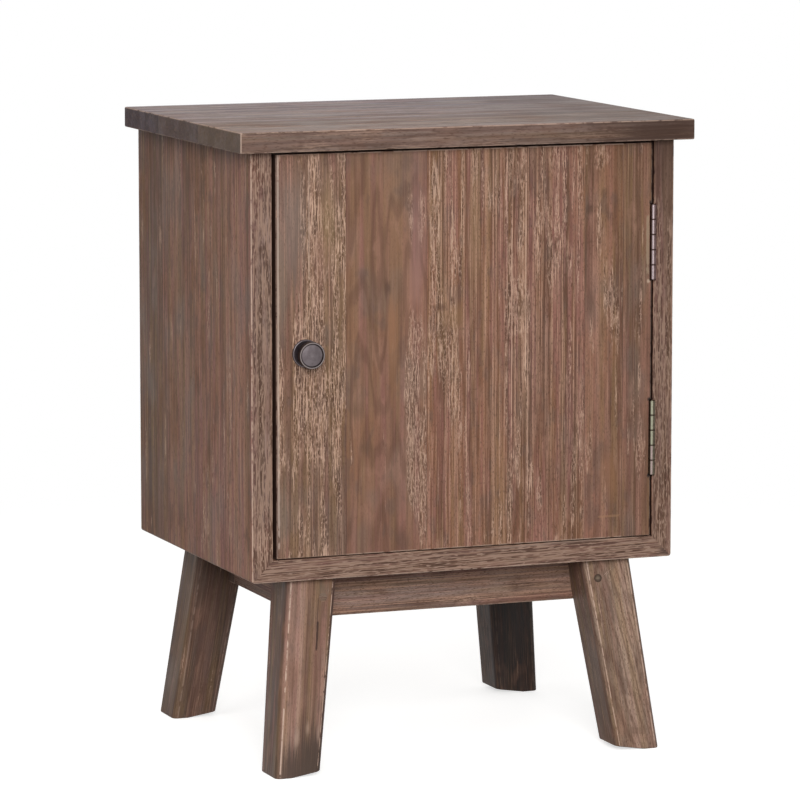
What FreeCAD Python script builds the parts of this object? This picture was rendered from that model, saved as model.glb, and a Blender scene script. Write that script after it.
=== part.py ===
import FreeCAD, Part
import math
import os
from FreeCAD import Vector

# Nightstand: a plank box with one inset door, on a splayed four-legged base.
# Millimetres. Z is up, the front faces -Y and X runs to the right.
# The origin is on the floor, under the middle of the whole outline, knob included.

# Overall sizes
top_width = 400.0
top_depth = 300.0
overall_height = 530.0
top_thickness = 17.0
side_overhang = 13.0
front_overhang = 13.0

# Joints between the planks of a panel, as shares of its depth from the front
top_joint_shares = (0.35, 0.69)
side_joint_shares = (0.49, 0.78)
bottom_joint_share = 0.52

# Box
plank = 18.0
box_bottom = 161.0
box_corner_radius = 2.5
box_edge_ease = 1.0
opening_ease = 0.6
top_back_corner_radius = 3.2
top_front_corner_radius = 1.5
top_edge_ease = 1.3

# Back panel, in a rebate of the box
back_thickness = 6.0
rebate_width = 9.0
back_edge_gap = 0.5

# Door: its planks meet at these shares of its width from the knob side
door_thickness = 18.0
door_gap_latch = 3.3
door_gap_hinge = 1.5
door_gap_top = 2.5
door_gap_bottom = 1.0
door_edge_ease = 0.9
door_joint_shares = (0.182, 0.394, 0.61, 0.818, 0.921)

# Hinges: butt hinges of five knuckles, let into door and side
hinge_length = 62.0
hinge_inset = 52.0
knuckle_count = 5
knuckle_gap = 0.3
barrel_radius = 2.5
hinge_pin_radius = 1.25
hinge_pin_clearance = 0.04
pin_head_radius = 1.9
pin_head_height = 0.7
pin_head_ease = 0.4
pin_head_gap = 0.05
leaf_thickness = 1.2
leaf_width = 15.5
leaf_fit = 0.15
axis_proud = 0.8
barrel_clearance = 0.4
barrel_end_clearance = 1.6

# Countersunk hinge screws
hinge_screw_count = 3
hinge_screw_length = 13.0
hinge_screw_radius = 1.4
hinge_screw_head_radius = 2.7
hinge_screw_margin = 10.0
hinge_screw_from_edge = 6.0

# Screws and their holes in general
hole_fit = 0.05
drive_width = 0.7
drive_depth = 0.5
drive_length_share = 0.6

# Knob and its rose
knob_inset = 25.3
knob_height_share = 0.509
rose_radius = 11.5
rose_thickness = 2.3
rose_ease = 1.0
knob_projection = 16.5
knob_radius = 11.0
knob_edge_thickness = 3.0
knob_neck_radius = 4.8
knob_foot_radius = 6.6
knob_foot_height = 1.8
knob_rim_width = 1.5
knob_rim_height = 0.9
knob_rim_round = 0.35
knob_face_crown = 0.7
knob_flare_share = 0.45
knob_screw_radius = 2.0
knob_screw_bite = 8.5
knob_hole_clearance = 0.3
knob_screw_head_radius = 4.0
knob_screw_head_height = 2.4
knob_washer_radius = 5.5
knob_washer_thickness = 0.8

# Magnetic catch inside, near the top of the knob side
catch_drop = 62.0
catch_length = 40.0
catch_ear = 11.0
catch_ear_thickness = 2.6
catch_ear_radius = 3.5
catch_depth = 15.0
catch_thickness = 13.0
catch_ease = 1.0
pole_thickness = 1.2
pole_length = 32.0
pole_proud = 0.8
magnet_thickness = 4.0
magnet_recess = 1.0
strike_gap = 0.3
strike_length = 38.0
strike_width = 9.0
strike_thickness = 1.2
strike_corner_radius = 2.2
strike_from_edge = 1.0
catch_screw_radius = 1.5
catch_screw_length = 15.0
catch_screw_head_radius = 2.8
catch_screw_head_height = 1.8
strike_screw_length = 12.0

# Legs: splayed both ways and tapered towards the foot
leg_inset_side = 33.5
leg_splay_side = 18.5
leg_splay_front = 22.0
leg_top_width = 44.0
leg_foot_width = 39.5
leg_top_depth = 41.0
leg_foot_depth = 38.0
leg_edge_radius = 5.0
foot_edge_radius = 1.0
foot_tread_width = 14.0
foot_lift = 4.0

# Apron frame between the legs
apron_height = 39.0
apron_thickness = 18.0
apron_ease = 1.0
leg_notch_side = 17.5
leg_notch_front = 8.0

# Screws through the legs, under round wood plugs
leg_screw_radius = 2.25
leg_screw_head_radius = 3.4
leg_screw_head_height = 3.0
leg_screw_from_side = 4.0
leg_screw_drop = 16.0
leg_screw_bite = 20.0
plug_radius = 3.5
plug_length = 9.0

# Glue blocks in the corners of the apron frame
block_leg = 30.0
block_height = 24.0
block_screw_inset = 10.0
block_screw_bite = 12.0
block_screw_radius = 2.0
block_screw_head_radius = 3.8

# Dowels and splines
dowel_radius = 4.0
dowel_fit = 0.1
top_dowel_in_top = 11.0
top_dowel_in_side = 17.0
apron_dowel_in_front = 12.0
apron_dowel_in_side = 18.0
apron_dowel_drop = 29.0
spline_width = 14.0
spline_thickness = 4.0
spline_stop = 30.0
spline_inward = 4.0

# Screws of the back panel
back_screw_radius = 1.5
back_screw_head_radius = 2.8
back_screw_head_height = 1.5
back_screw_length = 16.0
back_screw_height_shares = (0.1, 0.5, 0.9)
back_screw_width_shares = (0.2, 0.5, 0.8)

# One overrun serves all cuts, and one tolerance tells whether two places are the same
over = 5.0
same_place = 0.05

# Places worked out from the sizes
knob_proud = max(0.0, knob_projection - front_overhang)
half_width = top_width / 2
top_front = knob_proud - (top_depth + knob_proud) / 2
top_back = top_front + top_depth
middle_y = (top_front + top_back) / 2
box_half = half_width - side_overhang
box_front = top_front + front_overhang
box_back = top_back
box_depth = box_back - box_front
box_top = overall_height - top_thickness
open_half = box_half - plank
open_bottom = box_bottom + plank
door_left = -open_half + door_gap_latch
door_right = open_half - door_gap_hinge
door_bottom = open_bottom + door_gap_bottom
door_top = box_top - door_gap_top
door_back = box_front + door_thickness
door_width = door_right - door_left
hinge_x = open_half - door_gap_hinge / 2
hinge_y = box_front - axis_proud
knob_x = door_left + knob_inset
knob_z = door_bottom + knob_height_share * (door_top - door_bottom)
back_front = box_back - back_thickness
rebate_half = open_half + rebate_width
rebate_bottom = open_bottom - rebate_width

SIDES = (("left", -1), ("right", 1))
ENDS = (("front", -1), ("back", 1))


def block(x0, x1, y0, y1, z0, z1):
    return Part.makeBox(x1 - x0, y1 - y0, z1 - z0, Vector(x0, y0, z0))


def rod(radius, start, end):
    run = end.sub(start)
    return Part.makeCylinder(radius, run.Length, start, run)


def taper(radius_start, radius_end, start, end):
    run = end.sub(start)
    return Part.makeCone(radius_start, radius_end, run.Length, start, run)


def eased(shape, radius, chosen):
    """Rounds the straight edges whose middle and direction are chosen."""
    edges = []
    for edge in shape.Edges:
        ends = [vertex.Point for vertex in edge.Vertexes]
        if len(ends) != 2:
            continue
        run = ends[1].sub(ends[0])
        if chosen((ends[0] + ends[1]) * 0.5, run.normalize()):
            edges.append(edge)
    return shape.makeFillet(radius, edges)


def near(a, b):
    return abs(a - b) < same_place


def save(name, shape):
    solids = shape.Solids
    out = solids[0] if len(solids) == 1 else Part.makeCompound(solids)
    out.exportStep("parts/" + name + ".step")


def cross_slot(centre, axis, across, head_radius):
    """Cross recess in a screw head: axis points out of the head, across lies in its face."""
    other = axis.cross(across)
    half = head_radius * drive_length_share
    slots = []
    for along, side in ((across, other), (other, across)):
        corner = centre - along * half - side * (drive_width / 2) - axis * drive_depth
        points = [
            corner,
            corner + along * (2 * half),
            corner + along * (2 * half) + side * drive_width,
            corner + side * drive_width,
        ]
        face = Part.Face(Part.makePolygon(points + points[:1]))
        slots.append(face.extrude(axis * (drive_depth + over)))
    return slots[0].fuse(slots[1])


def countersunk(centre, axis, across, length, radius, head_radius, head_height):
    """Countersunk screw whose flat head lies at centre; axis points out of the head."""
    neck = centre - axis * head_height
    screw = taper(head_radius, radius, centre, neck)
    screw = screw.fuse(rod(radius, neck, centre - axis * length))
    return screw.cut(cross_slot(centre, axis, across, head_radius)).removeSplitter()


def countersunk_hole(centre, axis, length, radius, head_radius, head_height):
    neck = centre - axis * head_height
    hole = taper(head_radius + hole_fit, radius + hole_fit, centre, neck)
    return hole.fuse(rod(radius + hole_fit, centre + axis * over, centre - axis * length))


def panhead(seat, axis, across, length, radius, head_radius, head_height):
    """Pan-head screw whose head stands on seat; axis points out of the head."""
    crown = seat + axis * head_height
    head = rod(head_radius, seat, crown)
    rim = [e for e in head.Edges if len(e.Vertexes) == 1 and near(e.CenterOfMass.sub(crown).Length, 0)]
    head = head.makeFillet(head_height / 2, rim)
    screw = head.fuse(rod(radius, seat, seat - axis * length)).removeSplitter()
    return screw.cut(cross_slot(crown, axis, across, head_radius))


# Box envelope, with the rounded arrises that its planks share
def box_envelope():
    body = block(-box_half, box_half, box_front, box_back, box_bottom, box_top)
    body = eased(body, box_corner_radius, lambda p, d: near(abs(d.y), 1) and near(p.z, box_bottom))
    return eased(body, box_edge_ease,
                 lambda p, d: near(p.y, box_front) and not near(p.z, box_top))


def top_envelope():
    body = block(-half_width, half_width, top_front, top_back, box_top, overall_height)
    body = eased(body, top_back_corner_radius, lambda p, d: near(abs(d.z), 1) and near(p.y, top_back))
    body = eased(body, top_front_corner_radius, lambda p, d: near(abs(d.z), 1) and near(p.y, top_front))
    rim = [e for e in body.Edges if near(e.BoundBox.ZMin, e.BoundBox.ZMax)]
    return body.makeFillet(top_edge_ease, rim)


def rebate():
    return block(-rebate_half, rebate_half, back_front, box_back + over, rebate_bottom, box_top + over)


def side_section(sign):
    """Side plank's outline, mitred at its lower end."""
    points = [
        Vector(sign * box_half, 0, box_bottom),
        Vector(sign * box_half, 0, box_top),
        Vector(sign * open_half, 0, box_top),
        Vector(sign * open_half, 0, open_bottom),
    ]
    return Part.Face(Part.makePolygon(points + points[:1]))


def bottom_section():
    points = [
        Vector(-box_half, 0, box_bottom),
        Vector(box_half, 0, box_bottom),
        Vector(open_half, 0, open_bottom),
        Vector(-open_half, 0, open_bottom),
    ]
    return Part.Face(Part.makePolygon(points + points[:1]))


def drawn(section, y0, y1):
    solid = section.extrude(Vector(0, y1 - y0, 0))
    solid.translate(Vector(0, y0, 0))
    return solid


def joint_places(shares, start, length):
    return [start] + [start + share * length for share in shares] + [start + length]


side_places = joint_places(side_joint_shares, box_front, box_depth)
top_places = joint_places(top_joint_shares, top_front, top_depth)
bottom_places = joint_places((bottom_joint_share,), box_front, box_depth)
door_places = joint_places(door_joint_shares, door_left, door_width)


# Dowels between the sides and the top, one at the middle of each side plank
def top_dowels(fit):
    dowels = []
    for side, sign in SIDES:
        for y0, y1 in zip(side_places, side_places[1:]):
            x = sign * (box_half - plank / 2)
            y = (y0 + y1) / 2
            low = Vector(x, y, box_top - top_dowel_in_side - fit)
            high = Vector(x, y, box_top + top_dowel_in_top + fit)
            dowels.append(rod(dowel_radius + fit, low, high))
    return dowels


# Splines across the mitres between the sides and the bottom
def mitre_splines(fit):
    splines = []
    y0 = box_front + spline_stop - fit
    y1 = box_back - spline_stop + fit
    half = spline_width / 2 + fit
    thick = spline_thickness / 2 + fit
    for side, sign in SIDES:
        centre = Vector(sign * (open_half + plank / 2 - spline_inward), 0,
                        box_bottom + plank / 2 + spline_inward)
        along = Vector(sign, 0, 1).normalize()
        across = Vector(-sign, 0, 1).normalize()
        corners = [centre + along * (half * a) + across * (thick * c)
                   for a, c in ((-1, -1), (1, -1), (1, 1), (-1, 1))]
        splines.append(drawn(Part.Face(Part.makePolygon(corners + corners[:1])), y0, y1))
    return splines


# Back panel screws, heads flush with the panel's outer face
def back_screw_places():
    places = []
    rise = box_top - rebate_bottom
    for side, sign in SIDES:
        for share in back_screw_height_shares:
            places.append(Vector(sign * (open_half + rebate_width / 2), box_back,
                                 rebate_bottom + share * rise))
    for share in back_screw_width_shares:
        places.append(Vector(-open_half + share * 2 * open_half, box_back,
                             rebate_bottom + rebate_width / 2))
    return places


def back_screws(maker):
    return [maker(place) for place in back_screw_places()]


def back_screw(place):
    return countersunk(place, Vector(0, 1, 0), Vector(1, 0, 0), back_screw_length,
                       back_screw_radius, back_screw_head_radius, back_screw_head_height)


def back_screw_hole(place):
    return countersunk_hole(place, Vector(0, 1, 0), back_screw_length,
                            back_screw_radius, back_screw_head_radius, back_screw_head_height)


# Hinges
def hinge_bottoms():
    return (door_bottom + hinge_inset, door_top - hinge_inset - hinge_length)


def hinge_rod(radius, z0, z1):
    return rod(radius, Vector(hinge_x, hinge_y, z0), Vector(hinge_x, hinge_y, z1))


def leaf_plate(sign, z0, z1, fit):
    """The flat of a leaf; sign 1 is the side's leaf and -1 the door's."""
    inner = hinge_x + sign * door_gap_hinge / 2
    outer = inner + sign * leaf_thickness
    return block(min(inner, outer), max(inner, outer), hinge_y, hinge_y + leaf_width + fit,
                 z0 - fit, z1 + fit)


def hinge_leaf(sign, z0):
    z1 = z0 + hinge_length
    pitch = hinge_length / knuckle_count
    own = [i for i in range(knuckle_count) if (i % 2 == 0) == (sign == 1)]
    leaf = leaf_plate(sign, z0, z1, 0.0)
    for i in range(knuckle_count):
        low = z0 + i * pitch
        if i not in own:
            leaf = leaf.cut(hinge_rod(barrel_radius + knuckle_gap, low, low + pitch))
    for i in own:
        low = z0 + i * pitch
        start = low + (knuckle_gap / 2 if i > 0 else 0)
        end = low + pitch - (knuckle_gap / 2 if i < knuckle_count - 1 else 0)
        leaf = leaf.fuse(hinge_rod(barrel_radius, start, end))
    bore = hinge_rod(hinge_pin_radius + hinge_pin_clearance, z0 - over, z1 + over)
    leaf = leaf.cut(bore).removeSplitter()
    for place in hinge_screw_places(sign, z0):
        leaf = leaf.cut(hinge_screw_hole(sign, place))
    return leaf


def hinge_screw_places(sign, z0):
    x = hinge_x + sign * door_gap_hinge / 2
    y = hinge_y + leaf_width - hinge_screw_from_edge
    step = (hinge_length - 2 * hinge_screw_margin) / (hinge_screw_count - 1)
    return [Vector(x, y, z0 + hinge_screw_margin + i * step) for i in range(hinge_screw_count)]


def hinge_screw(sign, place):
    return countersunk(place, Vector(-sign, 0, 0), Vector(0, 1, 0), hinge_screw_length,
                       hinge_screw_radius, hinge_screw_head_radius, leaf_thickness)


def hinge_screw_hole(sign, place):
    return countersunk_hole(place, Vector(-sign, 0, 0), hinge_screw_length,
                            hinge_screw_radius, hinge_screw_head_radius, leaf_thickness)


def hinge_pin(z0):
    z1 = z0 + hinge_length
    pin = hinge_rod(hinge_pin_radius, z0 - pin_head_gap, z1 + pin_head_gap)
    for face_z, way in ((z0 - pin_head_gap, -1), (z1 + pin_head_gap, 1)):
        tip_z = face_z + way * pin_head_height
        head = hinge_rod(pin_head_radius, min(face_z, tip_z), max(face_z, tip_z))
        tip_edges = [e for e in head.Edges if len(e.Vertexes) == 1 and near(e.Vertexes[0].Z, tip_z)]
        pin = pin.fuse(head.makeFillet(pin_head_ease, tip_edges))
    return pin.removeSplitter()


def hinge_recesses(sign):
    """Mortises for the leaves, pockets for the barrels and pilot holes, in the side or the door."""
    cuts = []
    reach = barrel_radius + barrel_clearance
    for z0 in hinge_bottoms():
        z1 = z0 + hinge_length
        cuts.append(leaf_plate(sign, z0, z1, leaf_fit))
        cuts.append(block(hinge_x - reach, hinge_x + reach, hinge_y - over, hinge_y + reach,
                          z0 - barrel_end_clearance, z1 + barrel_end_clearance))
        for place in hinge_screw_places(sign, z0):
            cuts.append(hinge_screw_hole(sign, place))
    return cuts


# Magnetic catch
catch_z = box_top - catch_drop
catch_x = -open_half + catch_thickness
strike_front_y = door_back + strike_thickness
pole_front_y = strike_front_y + strike_gap
catch_front_y = pole_front_y + pole_proud
magnet_x = -open_half + door_gap_latch + strike_from_edge + strike_width / 2


def catch_screw_places():
    reach = catch_length / 2 + catch_ear / 2
    return [Vector(-open_half + catch_ear_thickness, catch_front_y + catch_depth / 2, catch_z + way * reach)
            for way in (-1, 1)]


def catch_parts():
    y0 = catch_front_y
    y1 = catch_front_y + catch_depth
    low = catch_z - catch_length / 2
    high = catch_z + catch_length / 2
    housing = block(-open_half, catch_x, y0, y1, low, high)
    housing = eased(housing, catch_ease, lambda p, d: near(p.x, catch_x))
    ears = block(-open_half, -open_half + catch_ear_thickness, y0, y1, low - catch_ear, high + catch_ear)
    ears = eased(ears, catch_ear_radius, lambda p, d: near(abs(d.x), 1))
    housing = housing.fuse(ears).removeSplitter()
    pack_half = magnet_thickness / 2 + pole_thickness
    pole_back = y1 - catch_ear_thickness
    pole_low = catch_z - pole_length / 2
    pole_high = catch_z + pole_length / 2
    housing = housing.cut(block(magnet_x - pack_half, magnet_x + pack_half, y0 - over, pole_back,
                                pole_low, pole_high))
    for place in catch_screw_places():
        housing = housing.cut(rod(catch_screw_radius + hole_fit, place + Vector(over, 0, 0),
                                  place - Vector(over, 0, 0)))
    poles = []
    for way in (-1, 1):
        inner = magnet_x + way * magnet_thickness / 2
        outer = inner + way * pole_thickness
        poles.append(block(min(inner, outer), max(inner, outer), pole_front_y, pole_back,
                           pole_low, pole_high))
    magnet = block(magnet_x - magnet_thickness / 2, magnet_x + magnet_thickness / 2,
                   y0 + magnet_recess, pole_back, pole_low, pole_high)
    screws = [panhead(place, Vector(1, 0, 0), Vector(0, 1, 0), catch_screw_length,
                      catch_screw_radius, catch_screw_head_radius, catch_screw_head_height)
              for place in catch_screw_places()]
    return housing, magnet, poles, screws


def catch_pilot_holes():
    return [rod(catch_screw_radius + hole_fit, place, place - Vector(catch_screw_length + hole_fit, 0, 0))
            for place in catch_screw_places()]


def strike_screw_place():
    return Vector(magnet_x, strike_front_y, catch_z)


def strike_parts():
    plate = block(magnet_x - strike_width / 2, magnet_x + strike_width / 2, door_back, strike_front_y,
                  catch_z - strike_length / 2, catch_z + strike_length / 2)
    plate = eased(plate, strike_corner_radius, lambda p, d: near(abs(d.y), 1))
    screw = countersunk(strike_screw_place(), Vector(0, 1, 0), Vector(1, 0, 0), strike_screw_length,
                        hinge_screw_radius, hinge_screw_head_radius, strike_thickness)
    return plate.cut(strike_screw_hole()), screw


def strike_screw_hole():
    return countersunk_hole(strike_screw_place(), Vector(0, 1, 0), strike_screw_length,
                            hinge_screw_radius, hinge_screw_head_radius, strike_thickness)


# Knob: turned pieces, drawn as outlines of radius and height above the door, then spun
def turned(points_and_arcs):
    """Spins an outline about the knob's axis; a point is (radius, height), an arc adds its middle."""
    def place(radius, height):
        return Vector(knob_x + radius, box_front - height, knob_z)
    edges = []
    start = place(*points_and_arcs[0])
    first = start
    for item in points_and_arcs[1:]:
        if len(item) == 2:
            end = place(*item)
            edges.append(Part.LineSegment(start, end).toShape())
        else:
            end = place(item[2], item[3])
            edges.append(Part.Arc(start, place(item[0], item[1]), end).toShape())
        start = end
    edges.append(Part.LineSegment(start, first).toShape())
    face = Part.Face(Part.Wire(edges))
    return face.revolve(Vector(knob_x, 0, knob_z), Vector(0, 1, 0), 360)


def knob_rose():
    bore = knob_screw_radius + knob_hole_clearance
    bend = rose_ease * (1 - math.sqrt(0.5))
    return turned([
        (bore, 0),
        (rose_radius, 0),
        (rose_radius, rose_thickness - rose_ease),
        (rose_radius - bend, rose_thickness - bend, rose_radius - rose_ease, rose_thickness),
        (bore, rose_thickness),
    ])


def knob_body():
    bore = knob_screw_radius + hole_fit
    bore_top = rose_thickness + knob_screw_bite + hole_fit
    edge_top = knob_projection - knob_rim_height
    edge_bottom = edge_top - knob_edge_thickness
    rim_inner = knob_radius - knob_rim_width
    flare = knob_neck_radius + knob_flare_share * (knob_radius - knob_neck_radius)
    foot_top = rose_thickness + knob_foot_height
    flare_height = foot_top + knob_flare_share * (edge_bottom - foot_top) + knob_foot_height
    round_off = knob_rim_round * (1 - math.sqrt(0.5))
    crown = edge_top + knob_face_crown
    crown_radius = (rim_inner ** 2 + knob_face_crown ** 2) / (2 * knob_face_crown)
    halfway_up = crown - crown_radius + math.sqrt(crown_radius ** 2 - (rim_inner / 2) ** 2)
    return turned([
        (bore, rose_thickness),
        (knob_foot_radius, rose_thickness),
        (knob_foot_radius, foot_top - knob_rim_round),
        (knob_foot_radius - round_off, foot_top - round_off, knob_foot_radius - knob_rim_round, foot_top),
        (knob_neck_radius, foot_top),
        (flare, flare_height, knob_radius, edge_bottom),
        (knob_radius, knob_projection - knob_rim_round),
        (knob_radius - round_off, knob_projection - round_off,
         knob_radius - knob_rim_round, knob_projection),
        (rim_inner + knob_rim_round, knob_projection),
        (rim_inner, edge_top),
        (rim_inner / 2, halfway_up, 0, crown),
        (0, bore_top),
        (bore, bore_top),
    ])


def knob_fixing():
    seat = Vector(knob_x, door_back, knob_z)
    out = Vector(0, 1, 0)
    washer = rod(knob_washer_radius, seat, seat + out * knob_washer_thickness)
    washer = washer.cut(rod(knob_screw_radius + knob_hole_clearance, seat - out * over, seat + out * over))
    head_seat = seat + out * knob_washer_thickness
    length = knob_washer_thickness + door_thickness + rose_thickness + knob_screw_bite
    screw = panhead(head_seat, out, Vector(1, 0, 0), length,
                    knob_screw_radius, knob_screw_head_radius, knob_screw_head_height)
    return washer, screw


def knob_hole():
    return rod(knob_screw_radius + knob_hole_clearance, Vector(knob_x, box_front - over, knob_z),
               Vector(knob_x, door_back + over, knob_z))


# Base. Both halves mirror across the middle of the top's depth.
foot_outer_x = box_half - leg_inset_side + leg_splay_side
leg_top_outer_x = box_half - leg_inset_side
leg_top_inner_x = leg_top_outer_x - leg_top_width
foot_outer_y = top_depth / 2
leg_top_outer_y = foot_outer_y - leg_splay_front
leg_top_inner_y = leg_top_outer_y - leg_top_depth
frame_half_x = leg_top_inner_x + leg_notch_side
frame_half_y = leg_top_inner_y + leg_notch_front
apron_bottom = box_bottom - apron_height
tread_end = foot_outer_x - foot_tread_width
leg_screw_x = frame_half_x - leg_screw_from_side
leg_screw_z = box_bottom - leg_screw_drop


def base_place(sign_x, sign_y, x, y, z):
    return Vector(sign_x * x, middle_y + sign_y * y, z)


def foot_relief():
    """Wedge cut from under a foot, so that it stands on its outer part and rises inwards."""
    reach = leg_foot_width + leg_splay_side
    rise = reach * foot_lift / (leg_foot_width - foot_tread_width)
    corners = [Vector(-x, 0, z) for x, z in (
        (tread_end, 0), (tread_end - reach, rise), (tread_end - reach, -over), (tread_end, -over))]
    wedge = Part.Face(Part.makePolygon(corners + corners[:1]))
    return drawn(wedge, middle_y, middle_y + foot_outer_y + over)


def leg_prism(sign_x, sign_y):
    """Four-sided leg, each face flat, with its long arrises rounded and its foot eased."""
    foot = (0.0, foot_outer_x, foot_outer_x - leg_foot_width, foot_outer_y, foot_outer_y - leg_foot_depth)
    head = (box_bottom, leg_top_outer_x, leg_top_inner_x, leg_top_outer_y, leg_top_inner_y)
    rings = [[base_place(-1, 1, x, y, z) for x, y in ((x1, y1), (x0, y1), (x0, y0), (x1, y0))]
             for z, x1, x0, y1, y0 in (foot, head)]
    low, high = rings
    for i, corner in enumerate(low):
        j = (i + 1) % len(low)
        rings.append([corner, low[j], high[j], high[i]])
    faces = [Part.Face(Part.makePolygon(ring + ring[:1])) for ring in rings]
    prism = Part.makeSolid(Part.makeShell(faces)).cut(foot_relief())
    prism = eased(prism, leg_edge_radius, lambda p, d: abs(d.z) > abs(d.x))
    prism = eased(prism, foot_edge_radius, lambda p, d: abs(d.z) < abs(d.x) + abs(d.y)
                  and p.z < box_bottom / 2 and not near(p.x, -tread_end))
    if sign_x > 0:
        prism = prism.mirror(Vector(0, 0, 0), Vector(1, 0, 0))
    if sign_y < 0:
        prism = prism.mirror(Vector(0, middle_y, 0), Vector(0, 1, 0))
    return prism


def leg_face_y(z):
    """Distance of the leg's outer face from the middle, at height z."""
    return foot_outer_y - leg_splay_front * z / box_bottom


def leg_screw_line(sign_x, sign_y):
    """Head seat and tip of a leg's screw."""
    head = leg_face_y(leg_screw_z) - plug_length
    tip = frame_half_y - apron_thickness - leg_screw_bite
    return (base_place(sign_x, sign_y, leg_screw_x, head, leg_screw_z),
            base_place(sign_x, sign_y, leg_screw_x, tip, leg_screw_z))


def leg_screw(sign_x, sign_y):
    head, tip = leg_screw_line(sign_x, sign_y)
    return countersunk(head, Vector(0, sign_y, 0), Vector(1, 0, 0), head.sub(tip).Length,
                       leg_screw_radius, leg_screw_head_radius, leg_screw_head_height)


def leg_screw_hole(sign_x, sign_y):
    head, tip = leg_screw_line(sign_x, sign_y)
    hole = rod(leg_screw_radius + hole_fit, head, tip)
    hole = hole.fuse(taper(leg_screw_head_radius + hole_fit, leg_screw_radius + hole_fit, head,
                           head - Vector(0, sign_y * leg_screw_head_height, 0)))
    return hole.fuse(rod(plug_radius, head, head + Vector(0, sign_y * (plug_length + over), 0)))


def leg_plug(sign_x, sign_y):
    head, tip = leg_screw_line(sign_x, sign_y)
    plug = rod(plug_radius, head, head + Vector(0, sign_y * (plug_length + over), 0))
    return plug.common(leg_prism(sign_x, sign_y))


def apron_frame_block():
    return block(-frame_half_x, frame_half_x, middle_y - frame_half_y, middle_y + frame_half_y,
                 apron_bottom, box_bottom)


def leg(sign_x, sign_y):
    return leg_prism(sign_x, sign_y).cut(apron_frame_block()).cut(leg_screw_hole(sign_x, sign_y))


def apron_dowels(fit):
    dowels = []
    for side, sign_x in SIDES:
        for end, sign_y in ENDS:
            x = frame_half_x - apron_thickness / 2
            joint_y = frame_half_y - apron_thickness
            z = box_bottom - apron_dowel_drop
            dowels.append(rod(dowel_radius + fit,
                              base_place(sign_x, sign_y, x, joint_y + apron_dowel_in_front + fit, z),
                              base_place(sign_x, sign_y, x, joint_y - apron_dowel_in_side - fit, z)))
    return dowels


def long_apron(sign_y):
    outer = middle_y + sign_y * frame_half_y
    inner = middle_y + sign_y * (frame_half_y - apron_thickness)
    apron = block(-frame_half_x, frame_half_x, min(outer, inner), max(outer, inner),
                  apron_bottom, box_bottom)
    return eased(apron, apron_ease, lambda p, d: near(abs(d.x), 1) and near(p.z, apron_bottom))


def side_apron(sign_x):
    outer = sign_x * frame_half_x
    inner = sign_x * (frame_half_x - apron_thickness)
    reach = frame_half_y - apron_thickness
    apron = block(min(outer, inner), max(outer, inner), middle_y - reach, middle_y + reach,
                  apron_bottom, box_bottom)
    return eased(apron, apron_ease, lambda p, d: near(abs(d.y), 1) and near(p.z, apron_bottom))


def corner_block(sign_x, sign_y):
    x = frame_half_x - apron_thickness
    y = frame_half_y - apron_thickness
    points = [base_place(sign_x, sign_y, px, py, box_bottom - block_height)
              for px, py in ((x, y), (x - block_leg, y), (x, y - block_leg))]
    return Part.Face(Part.makePolygon(points + points[:1])).extrude(Vector(0, 0, block_height))


def block_screw_seat(sign_x, sign_y):
    return base_place(sign_x, sign_y, frame_half_x - apron_thickness - block_screw_inset,
                      frame_half_y - apron_thickness - block_screw_inset, box_bottom - block_height)


def block_screw(sign_x, sign_y):
    return countersunk(block_screw_seat(sign_x, sign_y), Vector(0, 0, -1), Vector(1, 0, 0),
                       block_height + block_screw_bite, block_screw_radius,
                       block_screw_head_radius, block_screw_radius)


def block_screw_hole(sign_x, sign_y):
    return countersunk_hole(block_screw_seat(sign_x, sign_y), Vector(0, 0, -1),
                            block_height + block_screw_bite, block_screw_radius,
                            block_screw_head_radius, block_screw_radius)


CORNERS = [(end + "_" + side, sign_x, sign_y) for end, sign_y in ENDS for side, sign_x in SIDES]


def make_top():
    envelope = top_envelope()
    holes = Part.makeCompound(top_dowels(dowel_fit))
    for name, y0, y1 in zip(("front", "middle", "back"), top_places, top_places[1:]):
        slab = block(-half_width, half_width, y0, y1, box_top, overall_height)
        save("top_plank_" + name, slab.common(envelope).cut(holes))


def make_box():
    envelope = box_envelope()
    cuts = [rebate()] + top_dowels(dowel_fit) + mitre_splines(dowel_fit) + back_screws(back_screw_hole)
    for side, sign in SIDES:
        for name, y0, y1 in zip(("front", "middle", "back"), side_places, side_places[1:]):
            plank_solid = drawn(side_section(sign), y0, y1)
            if name == "front":
                plank_solid = eased(plank_solid, opening_ease, lambda p, d: near(abs(d.z), 1)
                                    and near(p.y, box_front) and near(abs(p.x), open_half))
            plank_solid = plank_solid.common(envelope).cut(Part.makeCompound(cuts))
            if name == "front" and side == "right":
                plank_solid = plank_solid.cut(Part.makeCompound(hinge_recesses(1)))
            if name == "front" and side == "left":
                plank_solid = plank_solid.cut(Part.makeCompound(catch_pilot_holes()))
            save("side_" + side + "_plank_" + name, plank_solid)
    block_holes = [block_screw_hole(sign_x, sign_y) for corner, sign_x, sign_y in CORNERS]
    for name, y0, y1 in zip(("front", "back"), bottom_places, bottom_places[1:]):
        floor = drawn(bottom_section(), y0, y1)
        if name == "front":
            floor = eased(floor, opening_ease, lambda p, d: near(abs(d.x), 1)
                          and near(p.y, box_front) and near(p.z, open_bottom))
        floor = floor.common(envelope).cut(Part.makeCompound(cuts + block_holes))
        save("bottom_plank_" + name, floor)
    panel = block(-rebate_half + back_edge_gap, rebate_half - back_edge_gap, back_front, box_back,
                  rebate_bottom + back_edge_gap, box_top)
    save("back_panel", panel.cut(Part.makeCompound(back_screws(back_screw_hole))))
    save("back_panel_screws", Part.makeCompound(back_screws(back_screw)))
    save("top_dowels", Part.makeCompound(top_dowels(0)))
    save("mitre_splines", Part.makeCompound(mitre_splines(0)))


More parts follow.
